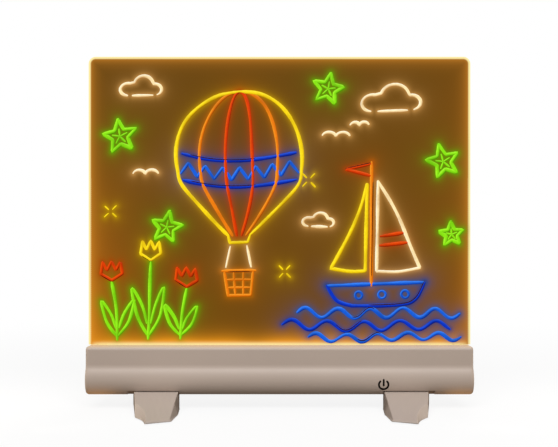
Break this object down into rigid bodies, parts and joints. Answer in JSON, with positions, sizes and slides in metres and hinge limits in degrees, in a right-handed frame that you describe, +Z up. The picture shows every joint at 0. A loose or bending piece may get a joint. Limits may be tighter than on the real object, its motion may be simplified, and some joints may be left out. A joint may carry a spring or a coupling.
{
  "type": "led message board",
  "caption": "Edge-lit acrylic writing sheet standing in a long moulded base with a touch power key, on two lift-off diagonal feet.",
  "frame": {"origin": "on the table, under the middle of the base", "axes": "+Z up, +X along the base to the reader's right, -Y towards the reader"},
  "size_m": [0.4, 0.172, 0.367],
  "materials": {
    "acrylic": "edge-lit clear sheet that glows amber, with drawn glowing strokes",
    "housing": "moulded, satin gloss, warm grey",
    "foot": "moulded, satin gloss, warm grey",
    "foam": "soft foam strip",
    "light_bar": "extruded, plain",
    "led_board": "white solder mask with soldered LEDs",
    "circuit_board": "green solder mask",
    "chip": "moulded epoxy",
    "connector": "moulded nylon",
    "steel": "plated",
    "red_wire": "PVC insulation",
    "black_wire": "PVC insulation",
    "rubber": "soft, matt"
  },
  "bodies": {
    "base": {"front_housing": "housing", "rear_housing": "housing", "front_grip_strip": "foam", "rear_grip_strip": "foam", "housing_screw_1": "steel", "housing_screw_2": "steel", "housing_screw_3": "steel", "housing_screw_4": "steel", "housing_screw_5": "steel", "housing_screw_6": "steel", "housing_screw_7": "steel", "housing_screw_8": "steel", "housing_screw_9": "steel", "housing_screw_10": "steel", "light_bar": "light_bar", "led_strip": "led_board", "control_board": "circuit_board", "touch_chip": "chip", "power_chip": "chip", "power_coil": "chip", "led_connector": "connector", "power_connector": "connector", "usb_connector": "connector", "touch_spring": "steel", "usb_board": "circuit_board", "usb_socket": "steel", "power_wire_red": "red_wire", "power_wire_black": "black_wire", "led_wire_red": "red_wire", "led_wire_black": "black_wire", "control_board_screw_1": "steel", "control_board_screw_2": "steel", "usb_board_screw_1": "steel", "usb_board_screw_2": "steel"},
    "sheet": {"acrylic_panel": "acrylic"},
    "right_foot_unit": {"right_foot": "foot", "right_front_pad": "rubber", "right_rear_pad": "rubber"},
    "left_foot_unit": {"left_foot": "foot", "left_front_pad": "rubber", "left_rear_pad": "rubber"}
  },
  "joints": [
    {"name": "sheet_lift", "type": "slide", "parent": "base", "child": "sheet", "axis": [0, 0, 1], "range_m": [0, 0.04]},
    {"name": "right_foot_pull", "type": "slide", "parent": "base", "child": "right_foot_unit", "axis": [0, 0, -1], "range_m": [0, 0.02]},
    {"name": "left_foot_pull", "type": "slide", "parent": "base", "child": "left_foot_unit", "axis": [0, 0, -1], "range_m": [0, 0.02]}
  ]
}
